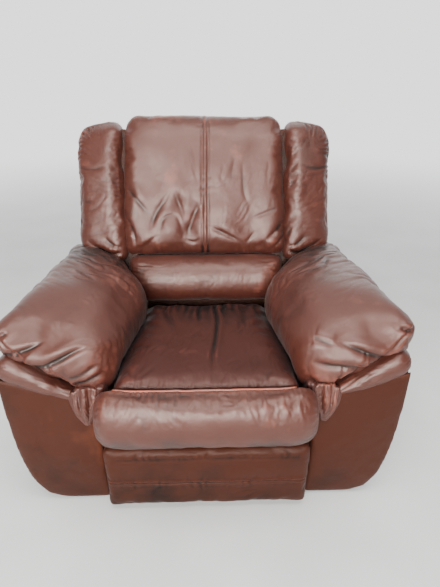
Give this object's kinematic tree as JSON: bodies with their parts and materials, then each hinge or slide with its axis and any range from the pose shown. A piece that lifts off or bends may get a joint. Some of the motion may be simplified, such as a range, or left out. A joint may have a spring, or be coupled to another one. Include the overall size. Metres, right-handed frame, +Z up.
{
  "type": "recliner armchair",
  "caption": "Padded leather recliner armchair with pillow arms, a winged back that reclines and a footrest that folds out from under the seat.",
  "frame": {"origin": "on the floor, under the middle of the chair's bounding box", "axes": "+X to the sitter's left, -Y out of the front of the chair, +Z up"},
  "size_m": [1.085, 0.96, 1.0164],
  "materials": {
    "leather_cushion": "semi-gloss grained leather over foam",
    "leather_panel": "satin grained leather",
    "wood": "sawn",
    "steel": "zinc plated",
    "spring_steel": "oiled",
    "black_plastic": "moulded",
    "webbing": "woven elastic"
  },
  "bodies": {
    "base": {"glides": "black_plastic", "base_rail_mid": "wood", "base_rail_rear": "wood", "arm_bottom_rails": "wood", "arm_posts": "wood", "arm_inner_board_left": "leather_panel", "arm_inner_board_right": "leather_panel", "arm_top_boards": "wood", "arm_outer_panel_left": "leather_panel", "arm_outer_panel_right": "leather_panel", "arm_front_panel_left": "leather_panel", "arm_front_panel_right": "leather_panel", "arm_rear_panel_left": "leather_panel", "arm_rear_panel_right": "leather_panel", "arm_bead_left": "leather_cushion", "arm_bead_right": "leather_cushion", "arm_pad_left": "leather_cushion", "arm_pad_right": "leather_cushion", "slide_channels": "steel", "handle_bezel": "black_plastic", "release_cable": "black_plastic"},
    "release": {"release_handle": "steel"},
    "seat": {"seat_side_rails": "wood", "seat_front_rail": "wood", "seat_rear_rail": "wood", "seat_springs": "spring_steel", "seat_cushion": "leather_cushion", "seat_front_roll": "leather_cushion", "seat_plate_left": "steel", "seat_plate_right": "steel", "slide_bars": "black_plastic", "seat_rivets": "steel", "recline_bolts": "steel", "footrest_springs": "spring_steel"},
    "back": {"back_posts": "wood", "back_top_rail": "wood", "back_lower_rail": "wood", "back_webbing": "webbing", "back_brackets": "steel", "back_pad": "leather_cushion", "back_wing_left": "leather_cushion", "back_wing_right": "leather_cushion", "lumbar_roll": "leather_cushion", "outer_back_upper": "leather_cushion", "outer_back_lower": "leather_panel"},
    "links": {"main_link_left": "steel", "main_link_right": "steel", "drive_tube": "steel", "link_rivets": "steel"},
    "companions": {"companion_links": "steel"},
    "couplers": {"coupler_left": "steel", "coupler_right": "steel", "coupler_brace": "steel", "coupler_rivets": "steel"},
    "controls": {"control_rods": "steel"},
    "footrest": {"footrest_brackets": "steel", "footrest_board": "wood", "footrest_pad": "leather_cushion", "footrest_rivets": "steel"}
  },
  "joints": [
    {"name": "back_recline", "type": "hinge", "parent": "seat", "child": "back", "pos_m": [0, 0.165, 0.3], "axis": [-1, 0, 0], "range_deg": [0, 35]},
    {"name": "seat_slide", "type": "slide", "parent": "base", "child": "seat", "axis": [0, -1, 0], "range_m": [0, 0.05]},
    {"name": "footrest_extend", "type": "hinge", "parent": "seat", "child": "links", "pos_m": [0, -0.27, 0.2787], "axis": [-1, 0, 0], "range_deg": [0, 90], "deforming": ["footrest_springs"]},
    {"name": "companion_turn", "type": "hinge", "parent": "seat", "child": "companions", "pos_m": [0, -0.30172, 0.29349], "axis": [-1, 0, 0], "range_deg": [0, 90]},
    {"name": "coupler_turn", "type": "hinge", "parent": "links", "child": "couplers", "pos_m": [0, -0.18621, 0.04848], "axis": [1, 0, 0], "range_deg": [0, 90]},
    {"name": "control_turn", "type": "hinge", "parent": "links", "child": "controls", "pos_m": [0, -0.2016, 0.09076], "axis": [1, 0, 0], "range_deg": [0, 90]},
    {"name": "footrest_turn", "type": "hinge", "parent": "couplers", "child": "footrest", "pos_m": [0, -0.343, 0.185], "axis": [-1, 0, 0], "range_deg": [0, 90]},
    {"name": "release_pull", "type": "hinge", "parent": "base", "child": "release", "pos_m": [-0.50486, -0.00373, 0.3], "axis": [0, 0, 1], "range_deg": [0, 25], "stiffness_Nm_per_rad": 0.4}
  ],
  "couplings": [
    {"joint": "seat_slide", "follows": "back_recline", "m_per_rad": 0.08185},
    {"joint": "companion_turn", "follows": "footrest_extend", "ratio": 1},
    {"joint": "coupler_turn", "follows": "footrest_extend", "ratio": 1},
    {"joint": "control_turn", "follows": "footrest_extend", "ratio": 1},
    {"joint": "footrest_turn", "follows": "footrest_extend", "ratio": 1}
  ]
}
